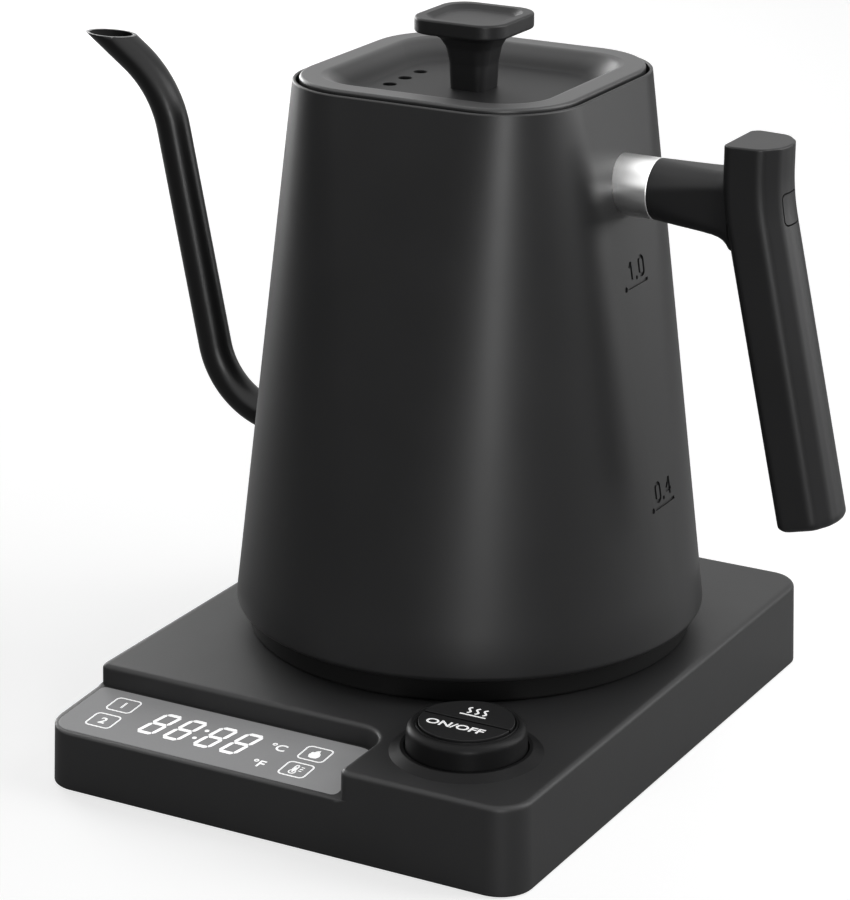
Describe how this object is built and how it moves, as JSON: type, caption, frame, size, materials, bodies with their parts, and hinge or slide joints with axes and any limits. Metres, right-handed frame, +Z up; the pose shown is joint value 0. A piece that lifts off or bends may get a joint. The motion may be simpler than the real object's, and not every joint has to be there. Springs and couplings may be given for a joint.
{
  "type": "electric kettle",
  "caption": "Gooseneck kettle: square-rimmed tapered body with lift-off lid, knob and upright grip, on a powered base with glass display, turning dial and half-round push buttons.",
  "frame": {"origin": "middle of the whole outline, on the resting surface under the feet", "axes": "+Z up; the base's front looks to -Y, the spout points to -X and the handle to +X"},
  "size_m": [0.2411, 0.188, 0.2021],
  "materials": {
    "base_plastic": "fine matt black moulding",
    "foot_rubber": "soft matt",
    "screw_steel": "zinc plated",
    "display_glass": "smoked flat glass, printed from behind",
    "display_module": "screen block",
    "circuit_board": "solder mask",
    "relay_case": "moulded case",
    "terminal_plastic": "moulded block",
    "encoder_plastic": "moulded",
    "dial_plastic": "fine matt black",
    "dial_metal": "satin black",
    "button_plastic": "fine matt black",
    "connector_plastic": "heat-proof moulding",
    "contact_brass": "plated",
    "body_paint": "fine-grained matt black coat on steel",
    "heater_steel": "bare",
    "heater_aluminium": "cast",
    "ferrule_steel": "bright turned steel",
    "handle_plastic": "soft-touch matt black",
    "liner_plastic": "food-grade moulding",
    "seal_silicone": "silicone"
  },
  "bodies": {
    "base": {"base_housing": "base_plastic", "base_bottom_cover": "base_plastic", "base_feet": "foot_rubber", "base_screws": "screw_steel", "display_glass": "display_glass", "display_module": "display_module", "control_board": "circuit_board", "power_board": "circuit_board", "relay": "relay_case", "terminal_block": "terminal_plastic", "cord_gland": "foot_rubber", "encoder_body": "encoder_plastic", "dial_collar": "dial_plastic", "dial_post": "dial_plastic", "tactile_switches": "encoder_plastic", "power_plug": "connector_plastic", "plug_contacts": "contact_brass"},
    "dial": {"dial_ring": "dial_metal"},
    "warm_button": {"warm_button": "button_plastic"},
    "power_button": {"power_button": "button_plastic"},
    "socket": {"kettle_socket": "connector_plastic", "socket_contacts": "contact_brass"},
    "kettle": {"kettle_body": "body_paint", "neck_ring": "body_paint", "kettle_bottom_cover": "connector_plastic", "heating_plate": "heater_steel", "heating_element": "heater_aluminium", "temperature_sensor": "heater_steel", "spout": "body_paint", "handle_ferrule": "ferrule_steel", "ferrule_nut": "screw_steel", "handle_grip": "handle_plastic", "handle_bolt": "screw_steel", "bolt_plug": "handle_plastic"},
    "lid": {"lid_cover": "body_paint", "lid_liner": "liner_plastic", "lid_seal": "seal_silicone", "lid_knob": "handle_plastic", "lid_knob_screw": "screw_steel"}
  },
  "joints": [
    {"name": "kettle_lift", "type": "slide", "parent": "base", "child": "socket", "axis": [0, 0, 1], "range_m": [0, 0.08]},
    {"name": "kettle_turn", "type": "hinge", "parent": "socket", "child": "kettle", "pos_m": [0.00716, 0.01763, 0.03], "axis": [0, 0, 1], "continuous": true},
    {"name": "lid_lift", "type": "slide", "parent": "kettle", "child": "lid", "axis": [0, 0, 1], "range_m": [0, 0.06]},
    {"name": "dial_turn", "type": "hinge", "parent": "base", "child": "dial", "pos_m": [0.05116, -0.066, 0.0296], "axis": [0, 0, 1], "continuous": true},
    {"name": "warm_press", "type": "slide", "parent": "base", "child": "warm_button", "axis": [0, 0, -1], "range_m": [0, 0.0008], "stiffness_N_per_m": 1200},
    {"name": "power_press", "type": "slide", "parent": "base", "child": "power_button", "axis": [0, 0, -1], "range_m": [0, 0.0008], "stiffness_N_per_m": 1200}
  ]
}
